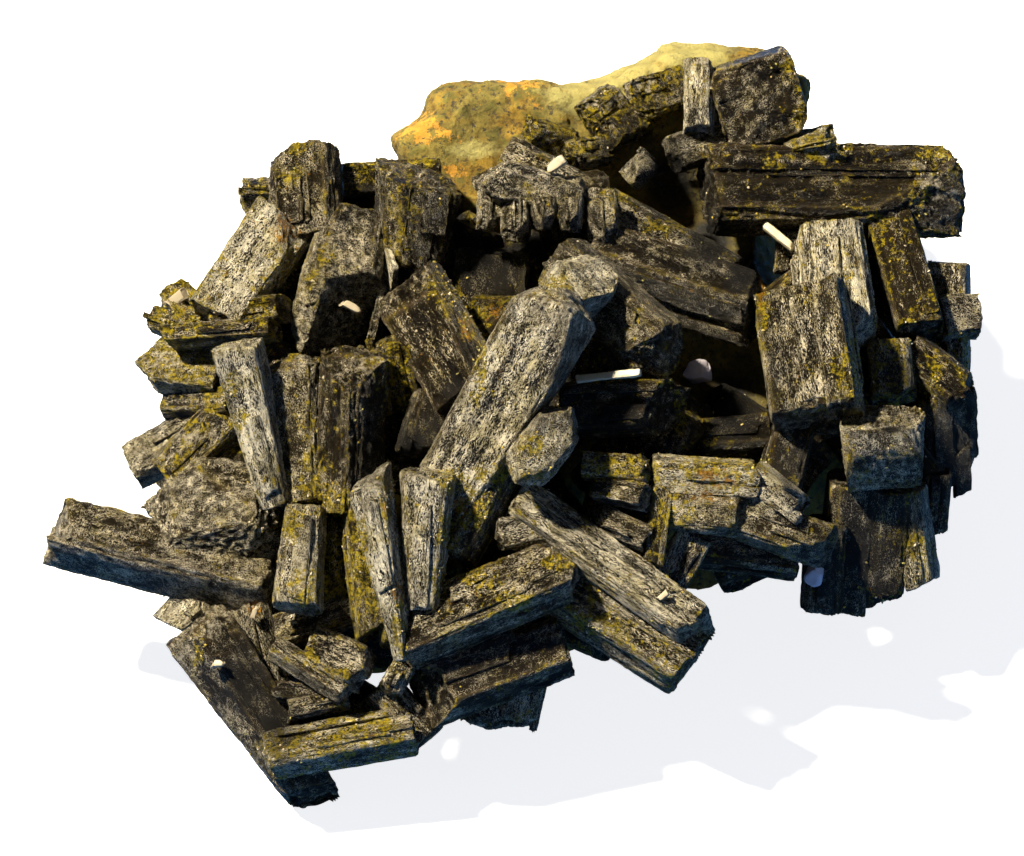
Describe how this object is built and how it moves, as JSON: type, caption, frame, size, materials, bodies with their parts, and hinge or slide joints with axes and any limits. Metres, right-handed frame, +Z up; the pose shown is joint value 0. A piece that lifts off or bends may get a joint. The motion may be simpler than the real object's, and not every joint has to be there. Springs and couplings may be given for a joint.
{
  "type": "epidote crystal cluster",
  "caption": "Cluster of stout, striated, dark green-brown crystals crossing at all angles, grown on a yellow matrix rock with a flat base.",
  "frame": {"origin": "middle of the object on its flat underside, which is the cut under the matrix rock", "axes": "+Z up, +X along the object's longest extent, -Y towards a viewer of the crystal-covered face"},
  "size_m": [0.0946, 0.0842, 0.0449],
  "materials": {
    "epidote": "satin, striated crystal faces",
    "matrix": "rough broken rock",
    "pale_crystal": "satin"
  },
  "bodies": {
    "root": {"epidote_crystals": "epidote", "lone_crystal_back_1": "epidote", "lone_crystal_back_2": "epidote", "lone_crystal_back_3": "epidote", "lone_crystal_back_4": "epidote", "lone_crystal_back_5": "epidote", "lone_crystal_side_1": "epidote", "lone_crystal_side_2": "epidote", "lone_crystal_side_3": "epidote", "matrix_rock": "matrix", "pale_rod_long": "pale_crystal", "pale_rod_short": "pale_crystal", "pale_chip_roof": "pale_crystal", "pale_chip_anvil": "pale_crystal", "pale_chip_left": "pale_crystal", "pale_chip_trunk": "pale_crystal", "pale_chip_leg": "pale_crystal", "pale_chip_shaft": "pale_crystal", "pale_chip_boot": "pale_crystal", "lilac_grain": "pale_crystal", "bluish_grain": "pale_crystal"}
  },
  "joints": []
}
